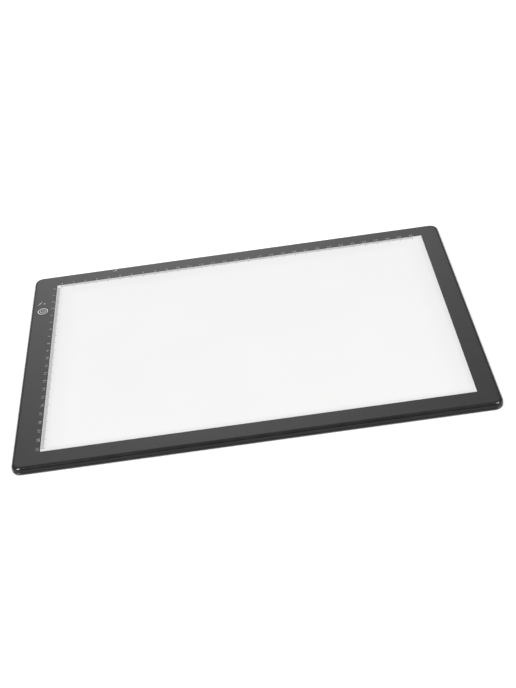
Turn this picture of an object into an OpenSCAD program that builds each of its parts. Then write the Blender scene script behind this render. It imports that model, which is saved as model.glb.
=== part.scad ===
// Slim edge-lit light box: a framed white panel over a light guide, with two LED bars,
// a control board with a charging socket, and one push key in the wider border.
// Origin at the middle of the footprint, on the plane of the feet. +X runs along the long
// side away from the key border, +Y points to the far side with the socket, +Z is up.

/* [Outline] */
// Width of the whole light box along X
pad_w = 348; // [300:1:440]
// Depth of the whole light box along Y
pad_d = 250; // [220:1:340]
// Plan radius of the four outer corners
corner_r = 7; // [6:0.5:12]
// Rounding of the upper outer edge
edge_r = 2.7; // [1:0.1:3.3]
// Rounding of the lower outer edge
base_edge_r = 1; // [0.4:0.1:1.6]

/* [Borders] */
// Width of the border that carries the key
key_border = 20; // [19:0.5:40]
// Width of the other three borders
border = 16; // [15:0.5:40]

/* [Layers] */
// Thickness of the back cover's floor
cover_t = 1; // [0.9:0.1:1.8]
// Thickness of the foam strips under the reflector
foam_t = 0.3; // [0.2:0.1:1]
// Thickness of the reflector film
reflector_t = 0.2; // [0.1:0.1:0.5]
// Thickness of the light guide
guide_t = 3; // [2:0.1:5]
// Thickness of the diffuser film
diffuser_t = 0.3; // [0.2:0.1:0.6]
// Thickness of the adhesive frame
tape_t = 0.2; // [0.1:0.1:0.5]
// Thickness of the window panel and of the bezel's face
panel_t = 1; // [0.8:0.1:2]

/* [Shell] */
// Thickness of the bezel's side wall
wall_t = 2.2; // [1.6:0.1:3]
// Height of the back cover's rim
rim_h = 2; // [1.6:0.1:2.4]
// Thickness of the locating lip on the rim
lip_t = 1; // [0.6:0.1:1.4]
// Height of the locating lip above the rim
lip_h = 1; // [0.5:0.1:1.5]
// Chamfer along both sides of the parting line
part_chamfer = 0.25; // [0.1:0.05:0.5]

/* [Optics] */
// How far the light guide runs under the bezel on each side
guide_lap = 2; // [1.5:0.1:2.4]
// How far the adhesive frame reaches in under the window panel
tape_in = 1.2; // [0.6:0.1:3]
// Number of foam strips
foam_count = 3; // [2:1:6]
// Width of a foam strip
foam_w = 12; // [6:1:20]

/* [Light bars] */
// Distance between LEDs
led_pitch = 7; // [5:0.5:20]
// Length of an LED along the bar
led_l = 3; // [2:0.1:4]
// Height of an LED
led_h = 1.4; // [1:0.1:2]
// Thickness of an LED
led_t = 0.7; // [0.5:0.1:0.8]
// Thickness of the LED strip board
strip_t = 0.8; // [0.6:0.1:1]
// Thickness of the aluminium rail's upright
rail_t = 0.8; // [0.5:0.1:1]
// How far the rail's foot reaches in under the reflector
rail_lap = 8; // [4:0.5:16]

/* [Push key] */
// Diameter of the key
key_d = 9.8; // [8:0.1:10]
// Distance from the window's far edge to the key's centre
key_drop = 37; // [30:1:60]
// Travel of the key
key_travel = 0.4; // [0.2:0.05:0.5]
// Width of the switch body
switch_w = 4.6; // [3.5:0.1:6]
// Height of the switch body
switch_h = 1.2; // [1:0.1:1.4]
// Diameter of the switch plunger
plunger_d = 2.4; // [1.6:0.1:3]

/* [Board] */
// Thickness of the control board
board_t = 0.8; // [0.6:0.1:1]
// Distance from the window's left edge to the socket's centre
socket_in = 50; // [30:1:70]
// Width of the charging socket's shell
socket_w = 7.5; // [7:0.1:9]
// Height of the charging socket's shell
socket_h = 2.5; // [2.2:0.1:3.5]
// Depth of the charging socket's shell
socket_l = 5.4; // [5:0.1:6]
// How far the socket's mouth lies inside the outline
socket_set = 0.8; // [0.5:0.1:1.2]
// Thickness of the socket's sheet metal
socket_wall = 0.3; // [0.2:0.05:0.4]
// Outside diameter of a lead
lead_d = 1; // [0.8:0.1:1.2]
// Distance between the two leads
lead_pitch = 1.4; // [1.3:0.1:1.8]

/* [Fasteners and feet] */
// Shank diameter of a cover screw
screw_d = 1.9; // [1.5:0.1:2.2]
// Head diameter of a cover screw
head_d = 3.8; // [3:0.1:4.4]
// Head height of a cover screw
head_h = 0.8; // [0.6:0.1:0.9]
// Diameter of a screw boss
boss_d = 5; // [4.4:0.1:5.4]
// Distance of the middle cover screws from the centre line
screw_mid_x = 58; // [30:1:80]
// Diameter of a foot
foot_d = 12; // [8:0.5:16]
// How far a foot stands below the cover
foot_proud = 0.6; // [0.4:0.1:2]
// How deep a foot sits in the cover
foot_sunk = 0.4; // [0.2:0.1:0.6]
// Distance from the outline to a foot's centre
foot_inset = 24; // [18:1:40]

/* [Hidden] */
$fn = 64;
// Overreach of cutting shapes
over = 1;

// Clearances
panel_gap = 0.15;
lip_gap = 0.15;
key_gap = 0.15;
key_rest_gap = 0.1;
plunger_gap = 0.1;
peg_gap = 0.1;
led_gap = 0.2;
board_gap = 0.35;
plug_gap = 0.4;
socket_gap = 0.3;
socket_air = 0.2;
boss_gap = 0.2;
hole_gap = 0.05;
head_gap = 0.2;
tape_set = 0.3;
rail_end = 1;

// Small features of the key, its switch and the board's pegs
key_lug_t = 0.6;
key_lug_l = 0.9;
key_lug_w = 3;
stem_d = 3.4;
stem_min = 0.1;
plunger_spare = 0.15;
plunger_out = key_travel + plunger_spare;
plunger_in = 0.4;
post_d = 4.4;
post_min = 0.3;
peg_d = 1.8;
peg_rise = 0.3;
post_in = 4;
post_back = 1.5;

// Room that the board needs between the floor and the face; the foam makes up what the layers lack
above_board = max(socket_h + socket_air, switch_h + plunger_out + stem_min + key_lug_t + key_rest_gap);
board_room = post_min + board_t + above_board;
layer_room = foam_t + reflector_t + guide_t + diffuser_t + tape_t;
foam_h = foam_t + max(0, board_room - layer_room);

// Heights of the layers, from the feet up
z_base = foot_proud;
z_floor = z_base + cover_t;
z_reflector = z_floor + foam_h;
z_guide = z_reflector + reflector_t;
z_diffuser = z_guide + guide_t;
z_tape = z_diffuser + diffuser_t;
z_flange = z_tape + tape_t;
z_face = z_flange + panel_t;
z_part = z_base + rim_h;

// Window and light guide in plan
win_w = pad_w - key_border - border;
win_d = pad_d - 2 * border;
win_x = (key_border - border) / 2;
win_left = win_x - win_w / 2;
guide_w = win_w + 2 * guide_lap;
guide_d = win_d + 2 * guide_lap;
guide_left = win_x - guide_w / 2;
guide_right = win_x + guide_w / 2;
guide_far = guide_d / 2;

// Shell sections: the flat plates reach into the swept rims, so that each shell is one piece
corner_x = pad_w / 2 - corner_r;
corner_y = pad_d / 2 - corner_r;
face_flat = 0.6;
face_band = edge_r + face_flat;
face_inset = edge_r + face_flat / 2;
floor_inset = wall_t + lip_gap;
inner_inset = floor_inset + lip_t;

// Light bars, measured outwards from the light guide's edge
strip_x = led_gap + led_t;
rail_x = strip_x + strip_t;
bar_w = rail_x + rail_t;
strip_l = guide_d - 2 * rail_end;
led_count = floor((strip_l - 2 * led_l) / led_pitch) + 1;
tail_l = 5;

// Push key and control board
key_x = -pad_w / 2 + key_border / 2;
key_y = win_d / 2 - key_drop;
key_under = z_flange - key_rest_gap - key_lug_t;
board_top = z_flange - above_board;
board_z = board_top - board_t;
board_left = -pad_w / 2 + inner_inset + board_gap;
board_right = guide_left - bar_w - board_gap;
board_far = pad_d / 2 - inner_inset - board_gap;
board_near = guide_far + board_gap;
board_below_key = 20;
board_end_y = key_y - board_below_key;
board_past_socket = 14;
socket_x = win_left + socket_in;
board_end_x = socket_x + socket_w / 2 + board_past_socket;
plunger_top = board_top + switch_h + plunger_out;
peg_places = [
    [(board_left + board_right) / 2, board_end_y + post_in],
    [board_end_x - post_in, (board_near + board_far) / 2 + post_back]
];

// Connectors and the leads between them
plug_l = 4;
plug_w = 3.6;
plug_h = 2;
lead_y = board_near + plug_gap + plug_w / 2;
lead_z = board_top + plug_h / 2;
lead_from = board_end_x;
lead_to = guide_right + strip_x - plug_l;
saddle_w = 3;
saddle_count = 3;

// Screws: the bosses hug the walls and stay clear of the rounded inner corners
screw_pad_ring = 0.4;
screw_pad_d = boss_d + 2 * screw_pad_ring;
screw_pad_h = 0.8;
boss_reach = inner_inset + boss_gap + boss_d / 2;
boss_inset = max(boss_reach, corner_r - (corner_r - boss_reach) * cos(45));
boss_x = pad_w / 2 - boss_inset;
boss_y = pad_d / 2 - boss_inset;
screw_places = [for (x = [-boss_x, -screw_mid_x, screw_mid_x, boss_x], y = [-boss_y, boss_y]) [x, y]];
head_sunk = 0.1;
seat_z = z_base + head_sunk + head_h;
screw_short = 0.6;
screw_l = z_flange - seat_z - screw_short;
cross_l = 2.2;
cross_w = 0.55;
cross_deep = 0.4;

// Inside of the charging socket
socket_cut = 0.9;
socket_back = 1.2;
tongue_t = 0.6;
tongue_side = 1.6;
tongue_w = socket_w - 2 * tongue_side;
tongue_short = 0.6;
contact_count = 5;
contact_t = 0.12;
contact_w = 0.4;

// Components on the board: sizes, and places measured from the key's centre
chip_size = [4, 5, 1.5];
chip_at = [0, 14];
transistor_size = [1.6, 3, 1.1];
transistor_at = [-2.5, -9];
inductor_size = [4, 4, 1.8];
inductor_at = [0, 23];
capacitor_size = [2, 1.2, 0.9];
capacitor_at = [[-1.5, 9.5], [-1.5, 18.5], [-1.5, 28]];
resistor_size = [0.9, 1.7, 0.5];
resistor_at = [[2.5, -10], [2.5, -6], [2.5, 9.5], [2.5, 28]];

// Feet
foot_x = pad_w / 2 - foot_inset;
foot_y = pad_d / 2 - foot_inset;
foot_round = 0.3;

// The plan outline with its round corners, drawn in by an inset
module inset_outline(inset) {
    r = corner_r - inset;
    square([2 * corner_x, 2 * (corner_y + r)], center = true);
    square([2 * (corner_x + r), 2 * corner_y], center = true);
    for (sx = [-1, 1], sy = [-1, 1])
        translate([sx * corner_x, sy * corner_y])
            circle(r);
}

// Sweeps a wall section round the outline; the section's outer face lies on its own Y axis
module sweep_outline() {
    for (i = [0:3]) {
        out = i % 2 == 0 ? corner_x : corner_y;
        along = i % 2 == 0 ? corner_y : corner_x;
        rotate(90 * i) {
            translate([out + corner_r, along, 0])
                rotate([90, 0, 0])
                    linear_extrude(2 * along)
                        children();
            translate([out, along, 0])
                rotate_extrude(angle = 90)
                    translate([corner_r, 0])
                        children();
        }
    }
}

// What a rounded edge of radius r takes off the corner at the origin's upper right
module edge_waste(r) {
    difference() {
        square(r + over);
        circle(r);
    }
}

// A block given by its lowest corner and its size
module block(corner, size) {
    translate(corner)
        cube(size);
}

// A rectangular sheet centred on the window
module sheet(w, d, z, t) {
    translate([win_x, 0, z + t / 2])
        cube([w, d, t], center = true);
}

// Places a light bar's parts, with local +X pointing out of the light guide's edge
module at_bar(side) {
    translate([side < 0 ? guide_left : guide_right, 0, 0])
        mirror([side < 0 ? 1 : 0, 0, 0])
            children();
}

// The space that the socket's shell needs through the walls
module socket_window() {
    block([socket_x - socket_w / 2 - socket_gap, pad_d / 2 - inner_inset - over, board_top - socket_gap],
        [socket_w + 2 * socket_gap, inner_inset + 2 * over, socket_h + socket_gap + socket_air]);
}

module bezel_section() {
    difference() {
        union() {
            translate([-wall_t, z_part])
                square([wall_t, z_flange - z_part]);
            translate([-face_band, z_flange])
                square([face_band, panel_t]);
        }
        translate([-edge_r, z_face - edge_r])
            edge_waste(edge_r);
        translate([0, z_part])
            polygon([[-part_chamfer - over, -over], [over, -over], [over, part_chamfer + over]]);
    }
}

module front_bezel() {
    color("#2b2b2d")
        difference() {
            union() {
                sweep_outline()
                    bezel_section();
                translate([0, 0, z_flange])
                    linear_extrude(panel_t)
                        difference() {
                            inset_outline(face_inset);
                            translate([win_x, 0])
                                square([win_w, win_d], center = true);
                        }
                for (p = screw_places)
                    translate([p[0], p[1], z_floor + screw_pad_h])
                        cylinder(d = boss_d, h = z_flange - z_floor - screw_pad_h);
                for (p = peg_places)
                    translate([p[0], p[1], board_top])
                        cylinder(d = post_d, h = z_flange - board_top);
            }
            for (p = screw_places)
                translate([p[0], p[1], z_floor])
                    cylinder(d = screw_d + 2 * hole_gap, h = seat_z + screw_l + hole_gap - z_floor);
            for (p = peg_places)
                translate([p[0], p[1], board_top - over])
                    cylinder(d = peg_d + 2 * peg_gap, h = over + peg_rise + peg_gap);
            translate([key_x, key_y, z_flange - over])
                cylinder(d = key_d + 2 * key_gap, h = panel_t + 2 * over);
            socket_window();
        }
}

module window_panel() {
    color("#f4f4f2")
        sheet(win_w - 2 * panel_gap, win_d - 2 * panel_gap, z_flange, panel_t);
}

module cover_section() {
    difference() {
        union() {
            translate([-inner_inset, z_base])
                square([inner_inset, rim_h]);
            translate([-inner_inset, z_part])
                square([lip_t, lip_h]);
        }
        translate([-base_edge_r, z_base + base_edge_r])
            mirror([0, 1])
                edge_waste(base_edge_r);
        translate([0, z_part])
            polygon([[-part_chamfer - over, over], [over, over], [over, -part_chamfer - over]]);
    }
}

module back_cover() {
    color("#202022")
        difference() {
            union() {
                sweep_outline()
                    cover_section();
                translate([0, 0, z_base])
                    linear_extrude(cover_t)
                        inset_outline(floor_inset);
                for (p = screw_places)
                    translate([p[0], p[1], z_floor])
                        cylinder(d = screw_pad_d, h = screw_pad_h);
                for (p = peg_places)
                    translate([p[0], p[1], z_floor]) {
                        cylinder(d = post_d, h = board_z - z_floor);
                        cylinder(d = peg_d, h = board_top + peg_rise - z_floor);
                    }
                for (i = [1:saddle_count])
                    block([lead_from + i * (lead_to - lead_from) / (saddle_count + 1) - saddle_w / 2,
                            lead_y - plug_w / 2, z_floor],
                        [saddle_w, plug_w, lead_z - lead_d / 2 - z_floor]);
            }
            for (p = screw_places)
                translate([p[0], p[1], z_base - over]) {
                    cylinder(d = head_d + 2 * head_gap, h = seat_z - z_base + over);
                    cylinder(d = screw_d + 2 * head_gap, h = cover_t + screw_pad_h + 2 * over);
                }
            for (sx = [-1, 1], sy = [-1, 1])
                translate([sx * foot_x, sy * foot_y, z_base - over])
                    cylinder(d = foot_d + 2 * head_gap, h = foot_sunk + over);
            socket_window();
        }
}

module rubber_feet() {
    color("#3a3a3c")
        for (sx = [-1, 1], sy = [-1, 1])
            translate([sx * foot_x, sy * foot_y, 0])
                rotate_extrude()
                    difference() {
                        square([foot_d / 2, foot_proud + foot_sunk]);
                        translate([foot_d / 2 - foot_round, foot_round])
                            mirror([0, 1])
                                edge_waste(foot_round);
                    }
}

module cover_screws() {
    color("#4a4a4e")
        for (p = screw_places)
            translate([p[0], p[1], z_base + head_sunk])
                difference() {
                    union() {
                        cylinder(d = head_d, h = head_h);
                        cylinder(d = screw_d, h = head_h + screw_l);
                    }
                    for (a = [0, 90])
                        rotate(a)
                            translate([0, 0, cross_deep / 2 - over / 2])
                                cube([cross_l, cross_w, cross_deep + over], center = true);
                }
}

module tape_frame() {
    color("#1c1c1e")
        difference() {
            sheet(guide_w - 2 * tape_set, guide_d - 2 * tape_set, z_tape, tape_t);
            sheet(win_w - 2 * tape_in, win_d - 2 * tape_in, z_tape - over, tape_t + 2 * over);
        }
}

module diffuser_film() {
    color("#fbfbfb")
        sheet(guide_w, guide_d, z_diffuser, diffuser_t);
}

module light_guide() {
    color("#dff2f7")
        sheet(guide_w, guide_d, z_guide, guide_t);
}

module reflector_film() {
    color("#ffffff")
        sheet(guide_w, guide_d, z_reflector, reflector_t);
}

module foam_strips() {
    strip_w = guide_w - 2 * rail_lap - 2 * rail_end;
    color("#c9c9c4")
        for (i = [1:foam_count])
            translate([0, (i / (foam_count + 1) - 0.5) * guide_d, 0])
                sheet(strip_w, foam_w, z_floor, foam_h);
}

module led_rail(side) {
    color("#b9bcc0")
        at_bar(side) {
            block([-rail_lap, -strip_l / 2, z_floor], [rail_lap + bar_w, strip_l, foam_h]);
            block([rail_x, -strip_l / 2, z_floor], [rail_t, strip_l, z_diffuser - z_floor]);
        }
}

module led_strip(side) {
    color("#f2f2ee")
        at_bar(side) {
            block([strip_x, -strip_l / 2, z_reflector], [strip_t, strip_l, z_diffuser - z_reflector]);
            block([strip_x, strip_l / 2, board_top], [strip_t, tail_l, z_diffuser - board_top]);
        }
}

module leds(side) {
    color("#f3e08a")
        at_bar(side)
            for (i = [0:led_count - 1])
                translate([led_gap + led_t / 2, (i - (led_count - 1) / 2) * led_pitch, z_guide + guide_t / 2])
                    cube([led_t, led_l, led_h], center = true);
}

module power_key() {
    color("#2f2f31")
        translate([key_x, key_y, 0]) {
            translate([0, 0, key_under])
                cylinder(d = key_d, h = z_face - key_under);
            for (s = [-1, 1])
                translate([0, s * (key_d / 2 + key_lug_l / 2 - over / 2), key_under + key_lug_t / 2])
                    cube([key_lug_w, key_lug_l + over, key_lug_t], center = true);
            translate([0, 0, plunger_top])
                cylinder(d = stem_d, h = key_under - plunger_top);
        }
}

module switch_plunger() {
    color("#1a1a1a")
        translate([key_x, key_y, board_top + switch_h - plunger_in])
            cylinder(d = plunger_d, h = plunger_in + plunger_out);
}

module switch_body() {
    color("#8d9096")
        difference() {
            translate([key_x, key_y, board_top + switch_h / 2])
                cube([switch_w, switch_w, switch_h], center = true);
            translate([key_x, key_y, board_top + switch_h - plunger_in - key_travel - plunger_gap])
                cylinder(d = plunger_d + 2 * plunger_gap, h = plunger_in + key_travel + plunger_gap + over);
        }
}

module control_board() {
    notch = boss_inset + screw_pad_d / 2 + board_gap;
    color("#1f5a3a")
        difference() {
            union() {
                block([board_left, board_end_y, board_z],
                    [board_right - board_left, board_far - board_end_y, board_t]);
                block([board_left, board_near, board_z],
                    [board_end_x - board_left, board_far - board_near, board_t]);
            }
            block([-pad_w / 2, pad_d / 2 - notch, board_z - over], [notch, notch, board_t + 2 * over]);
            for (p = peg_places)
                translate([p[0], p[1], board_z - over])
                    cylinder(d = peg_d + 2 * peg_gap, h = board_t + 2 * over);
        }
}

// Mouth outline of the charging socket: square above, with both lower corners cut off
module socket_outline(inset) {
    w = socket_w / 2 - inset;
    cut = socket_cut - 2 * inset * (1 - cos(45));
    polygon([
        [-w + cut, inset], [w - cut, inset], [w, inset + cut],
        [w, socket_h - inset], [-w, socket_h - inset], [-w, inset + cut]
    ]);
}

// Stands a socket outline up at the socket's place, with its depth measured in from the mouth
module in_socket(from_mouth, depth) {
    translate([socket_x, pad_d / 2 - socket_set - from_mouth, board_top])
        rotate([90, 0, 0])
            linear_extrude(depth)
                children();
}

module usb_shell() {
    color("#c4c7cb")
        difference() {
            in_socket(0, socket_l)
                socket_outline(0);
            in_socket(-over, socket_l + 2 * over)
                socket_outline(socket_wall);
        }
}

module usb_tongue() {
    color("#18181a")
        union() {
            in_socket(socket_l - socket_back, socket_back)
                socket_outline(socket_wall);
            in_socket(tongue_short, socket_l - socket_back - tongue_short)
                translate([-tongue_w / 2, socket_h / 2])
                    square([tongue_w, tongue_t]);
        }
}

module usb_contacts() {
    step = (tongue_w - 2 * contact_w) / (contact_count - 1);
    color("#d3ad52")
        for (i = [0:contact_count - 1])
            in_socket(tongue_short, socket_l - socket_back - tongue_short)
                translate([(i - (contact_count - 1) / 2) * step - contact_w / 2, socket_h / 2 - contact_t])
                    square([contact_w, contact_t]);
}

// A surface-mounted component that stands on the board
module component(at, size) {
    translate([key_x + at[0], key_y + at[1], board_top + size[2] / 2])
        cube(size, center = true);
}

module dimmer_chip() {
    color("#1b1b1d")
        component(chip_at, chip_size);
}

module power_transistor() {
    color("#232326")
        component(transistor_at, transistor_size);
}

module power_inductor() {
    color("#3c3c40")
        component(inductor_at, inductor_size);
}

module board_capacitors() {
    color("#b98f5c")
        for (at = capacitor_at)
            component(at, capacitor_size);
}

module board_resistors() {
    color("#2a2a2e")
        for (at = resistor_at)
            component(at, resistor_size);
}

// A two-way connector body with its lowest corner given
module connector(x, z) {
    color("#efece2")
        block([x, lead_y - plug_w / 2, z], [plug_l, plug_w, plug_h]);
}

module lead_socket() {
    connector(board_end_x - plug_l, board_top);
}

module lead_plug() {
    connector(lead_to, board_top);
}

module lead(side, tint) {
    color(tint)
        translate([lead_from, lead_y + side * lead_pitch / 2, lead_z])
            rotate([0, 90, 0])
                cylinder(d = lead_d, h = lead_to - lead_from);
}

front_bezel();
window_panel();
back_cover();
rubber_feet();
cover_screws();
tape_frame();
diffuser_film();
light_guide();
reflector_film();
foam_strips();
led_rail(-1);  // led_rail_left
led_rail(1);  // led_rail_right
led_strip(-1);  // led_strip_left
led_strip(1);  // led_strip_right
leds(-1);  // leds_left
leds(1);  // leds_right
power_key();
switch_plunger();
switch_body();
control_board();
usb_shell();
usb_tongue();
usb_contacts();
dimmer_chip();
power_transistor();
power_inductor();
board_capacitors();
board_resistors();
lead_socket();
lead_plug();
lead(1, "#b3262b");  // red_lead
lead(-1, "#161618");  // black_lead
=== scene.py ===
import math

import bmesh
import bpy
from mathutils import Matrix, Vector


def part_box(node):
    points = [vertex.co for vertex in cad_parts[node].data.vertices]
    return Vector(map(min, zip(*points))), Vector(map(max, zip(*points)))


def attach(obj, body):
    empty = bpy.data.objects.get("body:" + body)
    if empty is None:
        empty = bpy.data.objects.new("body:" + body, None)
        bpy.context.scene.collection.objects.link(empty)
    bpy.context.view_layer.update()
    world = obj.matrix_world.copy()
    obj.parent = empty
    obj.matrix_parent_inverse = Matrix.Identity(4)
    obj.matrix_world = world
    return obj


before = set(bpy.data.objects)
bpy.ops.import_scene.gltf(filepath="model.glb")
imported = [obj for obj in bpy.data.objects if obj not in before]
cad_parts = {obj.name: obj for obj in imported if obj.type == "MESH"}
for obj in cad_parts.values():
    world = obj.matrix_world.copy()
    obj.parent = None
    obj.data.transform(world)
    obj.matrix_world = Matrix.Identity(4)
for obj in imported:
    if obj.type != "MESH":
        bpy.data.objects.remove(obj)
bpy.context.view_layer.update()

MM = 0.001


# ---------------------------------------------------------------------------------------------
# Front bezel: the black frame, moulded in one piece from ABS.  Its flat face carries the fine
# matt texture of the mould, and the rounded rim below it is left smoother, so it shines more.
# ---------------------------------------------------------------------------------------------

face_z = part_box("front_bezel")[1].z
flat_start_z, flat_full_z = face_z - 0.30 * MM, face_z - 0.03 * MM
wall_top_z, rim_low_z = face_z - 2.2 * MM, face_z - 1.0 * MM
wall_shine, rim_shine, flat_shine = 0.31, 0.85, 0.50
rim_smooth, rim_rough = 0.15, 0.20
flat_smooth, flat_rough = 0.26, 0.32
plastic_index = 1.5
plastic_dark, plastic_pale = (0.0085, 0.0085, 0.0090), (0.0135, 0.0135, 0.0140)
blotch_size = 9.0 * MM
texture_size, texture_detail, texture_depth = 0.22 * MM, 2.0, 0.004 * MM
grain_low, grain_high = 0.3, 0.7


def new_finish(name):
    """An empty finish, its shader, and places measured on the piece itself."""
    finish = bpy.data.materials.new(name)
    finish.use_nodes = True
    tree = finish.node_tree
    shader = tree.nodes["Principled BSDF"]
    place = tree.nodes.new("ShaderNodeTexCoord").outputs["Object"]
    return finish, tree, shader, place


def grain(tree, place, size, detail=3.0, stretch=(1.0, 1.0, 1.0)):
    """Cloudy grain with blotches of about this size, drawn out where stretch is below one."""
    turn = tree.nodes.new("ShaderNodeMapping")
    turn.inputs["Scale"].default_value = stretch
    tree.links.new(place, turn.inputs["Vector"])
    noise = tree.nodes.new("ShaderNodeTexNoise")
    noise.inputs["Scale"].default_value = 1.0 / size
    noise.inputs["Detail"].default_value = detail
    tree.links.new(turn.outputs["Vector"], noise.inputs["Vector"])
    return noise.outputs["Fac"]


def axes(tree, place):
    """The X, Y and Z of a place or a direction."""
    split = tree.nodes.new("ShaderNodeSeparateXYZ")
    tree.links.new(place, split.inputs["Vector"])
    return split.outputs


def level(tree, amount, low, high, start=grain_low, end=grain_high):
    """Spreads an amount, such as the grain, over a range of values."""
    spread = tree.nodes.new("ShaderNodeMapRange")
    for socket, value in (
            ("From Min", start), ("From Max", end), ("To Min", low), ("To Max", high)):
        spread.inputs[socket].default_value = value
    tree.links.new(amount, spread.inputs["Value"])
    return spread.outputs["Result"]


def reckon(tree, kind, one, other=None):
    """One step of sums on amounts or plain numbers."""
    step = tree.nodes.new("ShaderNodeMath")
    step.operation = kind
    for socket, value in zip(step.inputs, (one, other)):
        if isinstance(value, (int, float)):
            socket.default_value = value
        elif value is not None:
            tree.links.new(value, socket)
    return step.outputs["Value"]


def blended(tree, share, low, high):
    """Goes from one amount to another as the share goes from nought to one."""
    mix = tree.nodes.new("ShaderNodeMix")
    mix.data_type = "FLOAT"
    tree.links.new(share, mix.inputs["Factor"])
    tree.links.new(low, mix.inputs["A"])
    tree.links.new(high, mix.inputs["B"])
    return mix.outputs["Result"]


def tint(tree, shader, amount, dark, pale):
    """Colours a finish between two shades of it."""
    ramp = tree.nodes.new("ShaderNodeValToRGB")
    for stop, position, shade in zip(
            ramp.color_ramp.elements, (grain_low, grain_high), (dark, pale)):
        stop.position, stop.color = position, (*shade, 1.0)
    tree.links.new(amount, ramp.inputs["Fac"])
    tree.links.new(ramp.outputs["Color"], shader.inputs["Base Color"])
    return ramp.outputs["Color"]


def relief(tree, shader, amount, depth):
    """Raises a finish by a depth in metres."""
    bump = tree.nodes.new("ShaderNodeBump")
    bump.inputs["Strength"].default_value = 1.0
    bump.inputs["Distance"].default_value = depth
    tree.links.new(amount, bump.inputs["Height"])
    tree.links.new(bump.outputs["Normal"], shader.inputs["Normal"])


def dress(node, finish):
    """Gives a solid of the frame its finish."""
    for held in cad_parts[node].material_slots:
        held.material = finish


bezel_finish, tree, shader, place = new_finish("satin_black_bezel")
shader.inputs["IOR"].default_value = plastic_index
blotch = grain(tree, place, blotch_size)
speckle = grain(tree, place, texture_size, texture_detail)
height = axes(tree, place)["Z"]
on_flat = level(tree, height, 0.0, 1.0, flat_start_z, flat_full_z)
tint(tree, shader, blotch, plastic_dark, plastic_pale)
rim_gloss = level(tree, blotch, rim_smooth, rim_rough)
flat_gloss = level(tree, blotch, flat_smooth, flat_rough)
tree.links.new(blended(tree, on_flat, rim_gloss, flat_gloss), shader.inputs["Roughness"])
side_shine = level(tree, height, wall_shine, rim_shine, wall_top_z, rim_low_z)
lost_on_flat = reckon(tree, "MULTIPLY", on_flat, rim_shine - flat_shine)
shine = reckon(tree, "SUBTRACT", side_shine, lost_on_flat)
tree.links.new(shine, shader.inputs["Specular IOR Level"])
relief(tree, shader, reckon(tree, "MULTIPLY", speckle, on_flat), texture_depth)
dress("front_bezel", bezel_finish)


# ---------------------------------------------------------------------------------------------
# Window panel: a flush, matt sheet of white opal acrylic, glued to the adhesive frame on the
# bezel's lip.  With the lamps off it is plain white.  Shade is painted into its colour: it is
# greyer within a few millimetres of its rim, and faintly greyer up to 22 mm in from its far and
# side edges.
# ---------------------------------------------------------------------------------------------

window_low, window_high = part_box("window_panel")
rim_start, rim_end, rim_painted_shade = -1.5 * MM, 6.0 * MM, 0.88
left_shade_extra = 1.5 * MM
side_start, side_end, side_painted_shade = 4.0 * MM, 22.0 * MM, 0.958
acrylic_index, panel_shine = 1.49, 0.30
panel_smooth, panel_rough = 0.62, 0.72
panel_dark, panel_pale = (0.874, 0.874, 0.871), (0.886, 0.886, 0.883)
cloud_size, peel_size, soft_detail, peel_depth = 70.0 * MM, 2.5 * MM, 1.0, 0.0004 * MM


def eased(tree, amount, low, high, start, end):
    """Spreads an amount over a range of values with soft ends."""
    result = level(tree, amount, low, high, start, end)
    result.node.interpolation_type = "SMOOTHSTEP"
    return result


panel_finish, tree, shader, place = new_finish("white_opal_panel")
shader.inputs["IOR"].default_value = acrylic_index
shader.inputs["Specular IOR Level"].default_value = panel_shine
cloud = grain(tree, place, cloud_size, soft_detail)
peel = grain(tree, place, peel_size, soft_detail)
opal = tint(tree, shader, cloud, panel_dark, panel_pale)
tree.links.new(level(tree, peel, panel_smooth, panel_rough), shader.inputs["Roughness"])
relief(tree, shader, peel, peel_depth)

# Painted shade: the opal colour is darkened to 0.88 of itself at the panel's rim, fading out by 6
# mm in, and to about 0.96 up to 22 mm in from its far and side edges.  Along the left edge the rim
# darkening reaches 1.5 mm further in.
spot = axes(tree, place)
from_left = reckon(tree, "SUBTRACT", spot["X"], window_low.x)
from_right = reckon(tree, "SUBTRACT", window_high.x, spot["X"])
from_near = reckon(tree, "SUBTRACT", spot["Y"], window_low.y)
from_far = reckon(tree, "SUBTRACT", window_high.y, spot["Y"])
from_sides = reckon(
    tree, "MINIMUM", from_far, reckon(tree, "MINIMUM", from_left, from_right))
from_rim = reckon(
    tree, "MINIMUM", from_near,
    reckon(tree, "MINIMUM", from_sides, reckon(tree, "SUBTRACT", from_left, left_shade_extra)))
painted_edge_shade = reckon(
    tree, "MULTIPLY", eased(tree, from_rim, rim_painted_shade, 1.0, rim_start, rim_end),
    eased(tree, from_sides, side_painted_shade, 1.0, side_start, side_end))
edge_shade_mix = tree.nodes.new("ShaderNodeMix")
edge_shade_mix.data_type = "RGBA"
share, black, white = edge_shade_mix.inputs[0], edge_shade_mix.inputs[6], edge_shade_mix.inputs[7]
black.default_value = (0.0, 0.0, 0.0, 1.0)
tree.links.new(painted_edge_shade, share)
tree.links.new(opal, white)
tree.links.new(edge_shade_mix.outputs[2], shader.inputs["Base Color"])
dress("window_panel", panel_finish)


# ---------------------------------------------------------------------------------------------
# Ruler ticks: dark ink, screen-printed on the panel along its far and left edges.  Every tenth
# millimetre has a longer stroke, and a bare strip is left next to the bezel.
# ---------------------------------------------------------------------------------------------

ink_low_z, ink_top_z = face_z - 0.004 * MM, face_z + 0.012 * MM
ink_thick, ink_middle_z = ink_top_z - ink_low_z, (ink_low_z + ink_top_z) / 2
ink_depth = 0.002 * MM
weld = 0.0005 * MM

far_zero_x = window_low.x + 3.73 * MM
left_zero_y = window_high.y - 4.60 * MM
far_ruler_mm, left_ruler_mm, number_mm = 300, 210, 10
far_gap, left_gap = 0.45 * MM, 0.28 * MM
stroke_wide = 0.35 * MM
far_reach, far_long_reach = 2.65 * MM, 4.0 * MM
left_reach, left_long_reach = 2.5 * MM, 3.4 * MM


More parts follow.
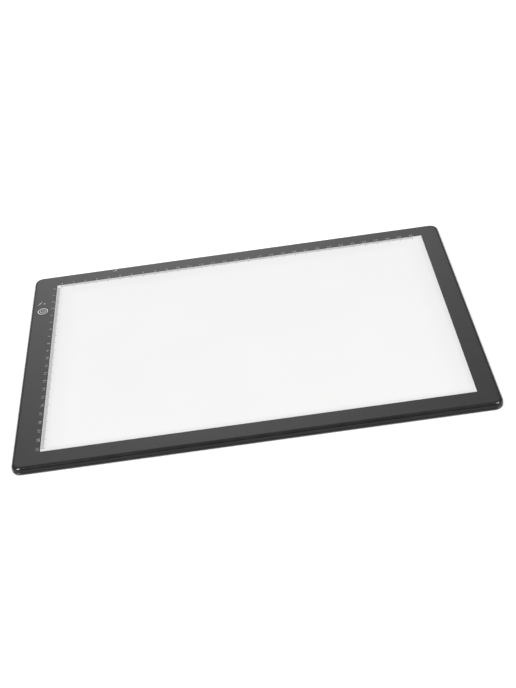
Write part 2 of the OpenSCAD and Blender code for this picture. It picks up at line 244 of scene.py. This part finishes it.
def grained(name, dark, pale, smooth, rough, size, depth, metal=0.0, stretch=(1.0, 1.0, 1.0)):
    """A finish with one grain in its shade, its gloss and its relief."""
    finish, tree, shader, place = new_finish(name)
    shader.inputs["Metallic"].default_value = metal
    mottle = grain(tree, place, size, stretch=stretch)
    tint(tree, shader, mottle, dark, pale)
    tree.links.new(level(tree, mottle, smooth, rough), shader.inputs["Roughness"])
    relief(tree, shader, mottle, depth)
    return finish


def ink_bar(sheet, low_x, high_x, low_y, high_y):
    """A flat bar of ink on the face."""
    middle = Matrix.Translation(((low_x + high_x) / 2, (low_y + high_y) / 2, ink_middle_z))
    size = Matrix.Diagonal((high_x - low_x, high_y - low_y, ink_thick, 1.0))
    bmesh.ops.create_cube(sheet, size=1.0, matrix=middle @ size)


def settle(name, sheet, finish, body):
    """Closes a mesh, gives it its finish and sets it on the body that carries it."""
    bmesh.ops.remove_doubles(sheet, verts=sheet.verts, dist=weld)
    bmesh.ops.recalc_face_normals(sheet, faces=sheet.faces)
    mesh = bpy.data.meshes.new(name)
    sheet.to_mesh(mesh)
    sheet.free()
    mesh.materials.append(finish)
    piece = bpy.data.objects.new(name, mesh)
    bpy.context.scene.collection.objects.link(piece)
    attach(piece, body)


tick_ink = grained(
    "dark_ruler_ink", dark=(0.060, 0.060, 0.062), pale=(0.100, 0.100, 0.102),
    smooth=0.42, rough=0.55, size=0.6 * MM, depth=ink_depth)

far_strokes = bmesh.new()
for mark in range(far_ruler_mm + 1):
    x = far_zero_x + mark * MM
    reach = far_reach if mark % number_mm else far_long_reach
    ink_bar(far_strokes, x - stroke_wide / 2, x + stroke_wide / 2,
            window_high.y - reach, window_high.y - far_gap)
settle("far_ruler_ticks", far_strokes, tick_ink, "housing")

left_strokes = bmesh.new()
for mark in range(left_ruler_mm + 1):
    y = left_zero_y - mark * MM
    reach = left_reach if mark % number_mm else left_long_reach
    ink_bar(left_strokes, window_low.x + left_gap, window_low.x + reach,
            y - stroke_wide / 2, y + stroke_wide / 2)
settle("left_ruler_ticks", left_strokes, tick_ink, "housing")


# ---------------------------------------------------------------------------------------------
# Ruler numbers: plain numbers in thin pale grey ink on the bezel, one beside every tenth
# millimetre stroke: 0 to 30 along the far edge, and 0 to 21, turned on their side, down the left.
# ---------------------------------------------------------------------------------------------

number_size = 3.3 * MM
number_spread = 1.2
number_curve_steps = 3
far_number_y = window_high.y + 2.1 * MM
left_number_x = window_low.x - 2.05 * MM
two_digits, far_pair_shift = 10, -0.60 * MM
on_its_side = math.radians(90)

number_ink = grained(
    "pale_number_ink", dark=(0.34, 0.34, 0.34), pale=(0.46, 0.46, 0.46),
    smooth=0.40, rough=0.55, size=0.5 * MM, depth=ink_depth)


def print_number(sheet, number, x, y, turn=0.0):
    """Adds a number, made a mesh, with its middle at a point of the face."""
    words = bpy.data.curves.new("number", "FONT")
    words.body = str(number)
    words.size = number_size
    words.space_character = number_spread
    words.align_x = "CENTER"
    words.align_y = "CENTER"
    words.extrude = ink_thick / 2
    words.resolution_u = number_curve_steps
    holder = bpy.data.objects.new("number", words)
    bpy.context.scene.collection.objects.link(holder)
    ready = holder.evaluated_get(bpy.context.evaluated_depsgraph_get())
    flat = bpy.data.meshes.new_from_object(ready)
    flat.transform(Matrix.Translation((x, y, ink_middle_z)) @ Matrix.Rotation(turn, 4, "Z"))
    sheet.from_mesh(flat)
    bpy.data.objects.remove(holder)
    bpy.data.curves.remove(words)
    bpy.data.meshes.remove(flat)


far_numbers = bmesh.new()
for number in range(far_ruler_mm // number_mm + 1):
    shift = far_pair_shift if number >= two_digits else 0.0
    print_number(
        far_numbers, number, far_zero_x + number * number_mm * MM + shift, far_number_y)
settle("far_ruler_numbers", far_numbers, number_ink, "housing")

left_numbers = bmesh.new()
for number in range(left_ruler_mm // number_mm + 1):
    print_number(
        left_numbers, number, left_number_x, left_zero_y - number * number_mm * MM, on_its_side)
settle("left_ruler_numbers", left_numbers, number_ink, "housing")


# ---------------------------------------------------------------------------------------------
# Power key: a round cap of the bezel's plastic, flush with the frame, that is pressed down on the
# switch under it.  A white ring and a standby sign are printed on it and go down with it.
# ---------------------------------------------------------------------------------------------

key_low, key_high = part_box("power_key")
key_x, key_y = (key_low.x + key_high.x) / 2, (key_low.y + key_high.y) / 2
touch_size = 4.0 * MM
key_smooth, key_rough = 0.30, 0.40
ring_outer_r, ring_wide, ring_steps = 4.30 * MM, 0.76 * MM, 96
sign_outer_r, sign_wide, sign_steps = 2.20 * MM, 0.50 * MM, 72
sign_opening = math.radians(88)
sign_bar_low, sign_bar_top = key_y - 0.25 * MM, key_y + 2.30 * MM
full_turn = 2 * math.pi

key_finish, tree, shader, place = new_finish("satin_black_key")
shader.inputs["IOR"].default_value = plastic_index
touch = grain(tree, place, touch_size)
speckle = grain(tree, place, texture_size, texture_detail)
tint(tree, shader, touch, plastic_dark, plastic_pale)
tree.links.new(level(tree, touch, key_smooth, key_rough), shader.inputs["Roughness"])
relief(tree, shader, speckle, texture_depth)
dress("power_key", key_finish)

key_ink = grained(
    "white_key_ink", dark=(0.62, 0.62, 0.62), pale=(0.76, 0.76, 0.76),
    smooth=0.35, rough=0.50, size=0.5 * MM, depth=ink_depth)


def ink_arc(sheet, outer_r, wide, start, sweep, steps):
    """A flat band of ink round the key's middle, from a small upright section turned about it."""
    inner_r = outer_r - wide
    corners = [
        (inner_r, ink_low_z), (outer_r, ink_low_z), (outer_r, ink_top_z), (inner_r, ink_top_z)]
    ends = [
        sheet.verts.new((key_x + r * math.cos(start), key_y + r * math.sin(start), z))
        for r, z in corners]
    section = [sheet.faces.new(ends)]
    full = sweep >= full_turn
    geom = ends + list(section[0].edges) + ([] if full else section)
    if full:
        bmesh.ops.delete(sheet, geom=section, context="FACES_ONLY")
    bmesh.ops.spin(sheet, geom=geom, cent=(key_x, key_y, face_z), axis=(0, 0, 1), angle=sweep,
                   steps=steps, use_merge=full)


key_ring = bmesh.new()
ink_arc(key_ring, ring_outer_r, ring_wide, 0.0, full_turn, ring_steps)
settle("key_ring_print", key_ring, key_ink, "key")

key_sign = bmesh.new()
ink_arc(key_sign, sign_outer_r, sign_wide, math.pi / 2 + sign_opening / 2,
        full_turn - sign_opening, sign_steps)
ink_bar(key_sign, key_x - sign_wide / 2, key_x + sign_wide / 2, sign_bar_low, sign_bar_top)
settle("key_sign_print", key_sign, key_ink, "key")


# ---------------------------------------------------------------------------------------------
# Border marks: a slim slanted leaf and a dot above the key, which stand for brighter and darker,
# and a small plug with its lead on the far border, above the charging socket.  Pale ink.
# ---------------------------------------------------------------------------------------------

leaf_middle = Vector((-166.95 * MM, 84.1 * MM))
leaf_lean, leaf_tall, leaf_wide = 3.7 * MM, 5.9 * MM, 1.15 * MM
dot_x, dot_y, dot_r, dot_steps = -163.4 * MM, 83.3 * MM, 0.82 * MM, 24
plug_x, plug_low, plug_top, plug_wide = -103.95 * MM, 120.3 * MM, 121.4 * MM, 1.75 * MM
prong_wide, prong_tall, prong_apart = 0.38 * MM, 0.65 * MM, 0.95 * MM
lead_x, lead_low, lead_line = -106.8 * MM, 119.65 * MM, 0.48 * MM


def raise_ink(sheet, patch):
    """Gives a flat patch the thickness of the ink."""
    grown = bmesh.ops.extrude_face_region(sheet, geom=[patch])["geom"]
    rise = [point for point in grown if isinstance(point, bmesh.types.BMVert)]
    bmesh.ops.translate(sheet, verts=rise, vec=(0, 0, ink_thick))


bright_marks = bmesh.new()
tip = Vector((leaf_lean / 2, leaf_tall / 2))
flank = tip.orthogonal().normalized() * leaf_wide / 2
leaf_points = [
    bright_marks.verts.new((*(leaf_middle + corner), ink_low_z))
    for corner in (-tip, -flank, tip, flank)]
raise_ink(bright_marks, bright_marks.faces.new(leaf_points))
dot_points = bmesh.ops.create_circle(
    bright_marks, cap_ends=True, segments=dot_steps, radius=dot_r,
    matrix=Matrix.Translation((dot_x, dot_y, ink_low_z)))["verts"]
raise_ink(bright_marks, dot_points[0].link_faces[0])
settle("brightness_marks", bright_marks, number_ink, "housing")

plug_mark = bmesh.new()
ink_bar(plug_mark, plug_x - plug_wide / 2, plug_x + plug_wide / 2, plug_low, plug_top)
for prong_x in (plug_x - prong_apart / 2, plug_x + prong_apart / 2):
    ink_bar(plug_mark, prong_x - prong_wide / 2, prong_x + prong_wide / 2,
            plug_top, plug_top + prong_tall)
ink_bar(plug_mark, lead_x, plug_x + lead_line / 2, lead_low, lead_low + lead_line)
ink_bar(plug_mark, plug_x - lead_line / 2, plug_x + lead_line / 2,
        lead_low + lead_line, plug_low)
settle("socket_mark", plug_mark, number_ink, "housing")


# ---------------------------------------------------------------------------------------------
# Light stack: adhesive frame, diffuser film, clear light guide, reflector film and foam strips,
# laid in the bezel from the front backwards.  Films are die-cut, the guide is polished acrylic.
# ---------------------------------------------------------------------------------------------

dress("tape_frame", grained(
    "black_film_tape", dark=(0.010, 0.010, 0.011), pale=(0.020, 0.020, 0.021),
    smooth=0.55, rough=0.70, size=1.5 * MM, depth=0.004 * MM))

optical_film = grained(
    "white_optical_film", dark=(0.90, 0.90, 0.90), pale=(0.94, 0.94, 0.94),
    smooth=0.45, rough=0.60, size=0.4 * MM, depth=0.002 * MM)
dress("diffuser_film", optical_film)
dress("reflector_film", optical_film)

guide_clearness = 0.9
guide_finish = grained(
    "clear_acrylic_guide", dark=(0.88, 0.94, 0.95), pale=(0.92, 0.97, 0.98),
    smooth=0.03, rough=0.07, size=20.0 * MM, depth=0.001 * MM)
shader = guide_finish.node_tree.nodes["Principled BSDF"]
shader.inputs["IOR"].default_value = acrylic_index
shader.inputs["Transmission Weight"].default_value = guide_clearness
dress("light_guide", guide_finish)

dress("foam_strips", grained(
    "grey_soft_foam", dark=(0.42, 0.42, 0.41), pale=(0.60, 0.60, 0.58),
    smooth=0.85, rough=0.95, size=0.7 * MM, depth=0.05 * MM))


# ---------------------------------------------------------------------------------------------
# Light bars: one along each end of the guide, an aluminium rail with a white strip board taped in
# it and a row of small lamps under yellow phosphor resin.
# ---------------------------------------------------------------------------------------------

rail_metal = grained(
    "rolled_aluminium", dark=(0.62, 0.63, 0.65), pale=(0.74, 0.75, 0.77),
    smooth=0.28, rough=0.42, size=0.6 * MM, depth=0.003 * MM, metal=1.0, stretch=(1.0, 0.03, 1.0))
strip_mask = grained(
    "white_solder_mask", dark=(0.82, 0.82, 0.78), pale=(0.90, 0.90, 0.87),
    smooth=0.35, rough=0.50, size=1.2 * MM, depth=0.004 * MM)
lamp_resin = grained(
    "phosphor_resin", dark=(0.82, 0.62, 0.16), pale=(0.92, 0.76, 0.28),
    smooth=0.20, rough=0.35, size=0.5 * MM, depth=0.006 * MM)
for end in ("left", "right"):
    dress("led_rail_" + end, rail_metal)
    dress("led_strip_" + end, strip_mask)
    dress("leds_" + end, lamp_resin)


# ---------------------------------------------------------------------------------------------
# Control board: green glass-fibre board on the cover's pegs under the key border, with the push
# switch, the dimmer's parts and the charging socket soldered on it.
# ---------------------------------------------------------------------------------------------

dress("control_board", grained(
    "green_board_mask", dark=(0.012, 0.085, 0.036), pale=(0.022, 0.130, 0.055),
    smooth=0.30, rough=0.45, size=0.9 * MM, depth=0.006 * MM))
dress("switch_body", grained(
    "plated_switch_steel", dark=(0.42, 0.43, 0.45), pale=(0.56, 0.57, 0.59),
    smooth=0.25, rough=0.40, size=0.5 * MM, depth=0.003 * MM, metal=1.0, stretch=(0.1, 1.0, 1.0)))

chip_epoxy = grained(
    "black_epoxy", dark=(0.010, 0.010, 0.011), pale=(0.022, 0.022, 0.023),
    smooth=0.45, rough=0.62, size=0.15 * MM, depth=0.004 * MM)
for chip in ("dimmer_chip", "power_transistor", "board_resistors", "switch_plunger", "usb_tongue"):
    dress(chip, chip_epoxy)
dress("power_inductor", grained(
    "grey_ferrite", dark=(0.045, 0.045, 0.050), pale=(0.085, 0.085, 0.095),
    smooth=0.60, rough=0.80, size=0.2 * MM, depth=0.008 * MM))
dress("board_capacitors", grained(
    "tan_ceramic", dark=(0.36, 0.21, 0.09), pale=(0.50, 0.32, 0.14),
    smooth=0.35, rough=0.55, size=0.2 * MM, depth=0.004 * MM))

dress("usb_shell", grained(
    "plated_socket_steel", dark=(0.52, 0.53, 0.55), pale=(0.68, 0.69, 0.71),
    smooth=0.22, rough=0.38, size=0.6 * MM, depth=0.002 * MM, metal=1.0,
    stretch=(0.08, 1.0, 1.0)))
dress("usb_contacts", grained(
    "plated_contact_brass", dark=(0.70, 0.50, 0.16), pale=(0.86, 0.66, 0.26),
    smooth=0.20, rough=0.32, size=0.3 * MM, depth=0.001 * MM, metal=1.0, stretch=(1.0, 0.1, 1.0)))


# ---------------------------------------------------------------------------------------------
# Leads: a red and a black wire with soft insulation, from a cream nylon socket on the board along
# the far border to a plug on the other light bar.
# ---------------------------------------------------------------------------------------------

cream_nylon = grained(
    "cream_nylon", dark=(0.80, 0.77, 0.66), pale=(0.88, 0.85, 0.75),
    smooth=0.38, rough=0.52, size=0.5 * MM, depth=0.004 * MM)
dress("lead_socket", cream_nylon)
dress("lead_plug", cream_nylon)
dress("red_lead", grained(
    "red_insulation", dark=(0.36, 0.014, 0.014), pale=(0.50, 0.024, 0.024),
    smooth=0.30, rough=0.45, size=0.8 * MM, depth=0.006 * MM))
dress("black_lead", grained(
    "black_insulation", dark=(0.008, 0.008, 0.008), pale=(0.018, 0.018, 0.018),
    smooth=0.30, rough=0.45, size=0.8 * MM, depth=0.006 * MM))


# ---------------------------------------------------------------------------------------------
# Back cover: a black moulded tray that closes the pad from below.  Its rim is the lower half of
# the side wall, and its underside has a coarser matt texture than the bezel.
# ---------------------------------------------------------------------------------------------

cover_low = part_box("back_cover")[0]
below_full_z, below_end_z = cover_low.z + 0.05 * MM, cover_low.z + 0.6 * MM
cover_shine = 0.48
side_smooth, side_rough = 0.20, 0.27
below_smooth, below_rough = 0.48, 0.60
cover_dark, cover_pale = (0.0085, 0.0085, 0.0090), (0.0140, 0.0140, 0.0145)
smear_size = 14.0 * MM
pebble_size, pebble_detail, pebble_depth = 0.45 * MM, 2.0, 0.02 * MM

cover_finish, tree, shader, place = new_finish("matt_black_cover")
shader.inputs["IOR"].default_value = plastic_index
shader.inputs["Specular IOR Level"].default_value = cover_shine
smear = grain(tree, place, smear_size)
pebble = grain(tree, place, pebble_size, pebble_detail)
below = level(tree, axes(tree, place)["Z"], 1.0, 0.0, below_full_z, below_end_z)
tint(tree, shader, smear, cover_dark, cover_pale)
side_gloss = level(tree, smear, side_smooth, side_rough)
below_gloss = level(tree, smear, below_smooth, below_rough)
tree.links.new(blended(tree, below, side_gloss, below_gloss), shader.inputs["Roughness"])
relief(tree, shader, reckon(tree, "MULTIPLY", pebble, below), pebble_depth)
dress("back_cover", cover_finish)


# ---------------------------------------------------------------------------------------------
# Cover screws and feet: blackened cross-head screws sunk in the cover, and four soft round rubber
# feet pressed into shallow seats near its corners.
# ---------------------------------------------------------------------------------------------

dress("cover_screws", grained(
    "blackened_steel", dark=(0.030, 0.030, 0.033), pale=(0.070, 0.070, 0.075),
    smooth=0.30, rough=0.48, size=0.35 * MM, depth=0.004 * MM, metal=0.9))
dress("rubber_feet", grained(
    "dark_foot_rubber", dark=(0.030, 0.030, 0.031), pale=(0.052, 0.052, 0.053),
    smooth=0.75, rough=0.90, size=0.25 * MM, depth=0.015 * MM))


# ---------------------------------------------------------------------------------------------
# Floor: a wide matt white studio floor.  It keeps the pad's soft shadow, and the camera sees it
# whiter the further off it lies.
# ---------------------------------------------------------------------------------------------

floor_half, floor_squares = 8.0, 4
floor_rough, floor_cloud_size = 0.9, 0.4
floor_dark, floor_pale = (0.895, 0.895, 0.895), (0.905, 0.905, 0.905)
near_white, white_start, white_end = 0.42, 0.9, 2.5
mirror_white = 0.12

floor_sheet = bmesh.new()
bmesh.ops.create_grid(
    floor_sheet, x_segments=floor_squares, y_segments=floor_squares, size=floor_half)
floor_mesh = bpy.data.meshes.new("studio_floor")
floor_sheet.to_mesh(floor_mesh)
floor_sheet.free()
floor = bpy.data.objects.new("studio_floor", floor_mesh)
bpy.context.scene.collection.objects.link(floor)

floor_finish, tree, shader, place = new_finish("white_floor")
shader.inputs["Roughness"].default_value = floor_rough
shader.inputs["Specular IOR Level"].default_value = 0.0
shader.inputs["Emission Color"].default_value = (1.0, 1.0, 1.0, 1.0)
tint(tree, shader, grain(tree, place, floor_cloud_size), floor_dark, floor_pale)
far_off = tree.nodes.new("ShaderNodeVectorMath")
far_off.operation = "LENGTH"
tree.links.new(place, far_off.inputs["Vector"])
whitened = eased(tree, far_off.outputs["Value"], near_white, 1.0, white_start, white_end)
rays = tree.nodes.new("ShaderNodeLightPath").outputs
mirrored = reckon(tree, "MAXIMUM", rays["Is Glossy Ray"], rays["Is Transmission Ray"])
glow = reckon(
    tree, "ADD", reckon(tree, "MULTIPLY", rays["Is Camera Ray"], whitened),
    reckon(tree, "MULTIPLY", mirrored, mirror_white))
tree.links.new(glow, shader.inputs["Emission Strength"])
floor_mesh.materials.append(floor_finish)


# ---------------------------------------------------------------------------------------------
# Studio: a room that is darker in front and has a bright patch behind the pad, for the bezel's
# sheen; the camera sees plain white.  Two upright soft boxes stand front left and front right.
# ---------------------------------------------------------------------------------------------

room_low, room_high, room_start, room_end = 0.146, 0.38, 0.30, 0.75
front_share, front_start, front_end = 0.55, -0.25, 0.25
patch_turn, patch_wide = math.radians(-4.0), math.radians(16.6)
patch_level, patch_foot, patch_low, patch_top = 2.36, 0.06, 0.30, 0.912
skyline_full, skyline_end = 0.02, 0.12
box_far, box_wide, box_tall = 8.0, 2.7, 4.6
left_box_way, left_box_watts = (-0.549, -0.485, 0.681), 393.0
right_box_way, right_box_watts = (0.621, -0.291, 0.728), 315.0

surroundings = bpy.data.worlds.new("studio")
bpy.context.scene.world = surroundings
surroundings.use_nodes = True
tree = surroundings.node_tree
backing = tree.nodes["Background"]
backing.inputs["Color"].default_value = (1.0, 1.0, 1.0, 1.0)
way = axes(tree, tree.nodes.new("ShaderNodeTexCoord").outputs["Generated"])

turned = reckon(tree, "ARCTAN2", way["X"], way["Y"])
aside = reckon(tree, "DIVIDE", reckon(tree, "SUBTRACT", turned, patch_turn), patch_wide)
fading = reckon(tree, "MULTIPLY", reckon(tree, "MULTIPLY", aside, aside), -1.0)
across = reckon(tree, "EXPONENT", fading)
upwards = reckon(
    tree, "MULTIPLY", level(tree, way["Z"], patch_level, 0.0, patch_low, patch_top),
    eased(tree, way["Z"], 0.0, 1.0, patch_foot, patch_low))
room = reckon(
    tree, "MULTIPLY", level(tree, way["Z"], room_low, room_high, room_start, room_end),
    eased(tree, way["Y"], front_share, 1.0, front_start, front_end))
patch = reckon(tree, "ADD", reckon(tree, "MULTIPLY", across, upwards), room)
skyline = eased(tree, way["Z"], 1.0, 0.0, skyline_full, skyline_end)
mirrored_room = reckon(tree, "MAXIMUM", patch, skyline)
rays = tree.nodes.new("ShaderNodeLightPath").outputs
seen_through = reckon(tree, "MAXIMUM", rays["Is Camera Ray"], rays["Is Transmission Ray"])
tree.links.new(
    reckon(tree, "MAXIMUM", mirrored_room, seen_through), backing.inputs["Strength"])


def soft_box(name, direction, watts):
    """An upright soft box that faces the pad from this direction."""
    lamp = bpy.data.lights.new(name, "AREA")
    lamp.shape = "RECTANGLE"
    lamp.size, lamp.size_y = box_wide, box_tall
    lamp.energy = watts
    box = bpy.data.objects.new(name, lamp)
    box.location = Vector(direction).normalized() * box_far
    box.rotation_euler = Vector(direction).to_track_quat("Z", "Y").to_euler()
    bpy.context.scene.collection.objects.link(box)


soft_box("left_soft_box", left_box_way, left_box_watts)
soft_box("right_soft_box", right_box_way, right_box_watts)


# ---------------------------------------------------------------------------------------------
# Camera: stands to the front and looks down on the pad, a little turned and tilted, as if it were
# held in the hand.
# ---------------------------------------------------------------------------------------------

camera_lens, camera_sensor = 64.68, 36.0
camera_place = (0.01465, -0.78703, 0.55866)
camera_turn = (54.14182, 6.58894, -4.30686)

lens_data = bpy.data.cameras.new("camera")
lens_data.lens = camera_lens
lens_data.sensor_width = camera_sensor
lens_data.sensor_fit = "AUTO"
camera = bpy.data.objects.new("camera", lens_data)
camera.location = camera_place
camera.rotation_euler = [math.radians(degrees) for degrees in camera_turn]
bpy.context.scene.collection.objects.link(camera)
bpy.context.scene.camera = camera
bpy.context.scene.view_settings.view_transform = "Standard"

bpy.context.view_layer.update()
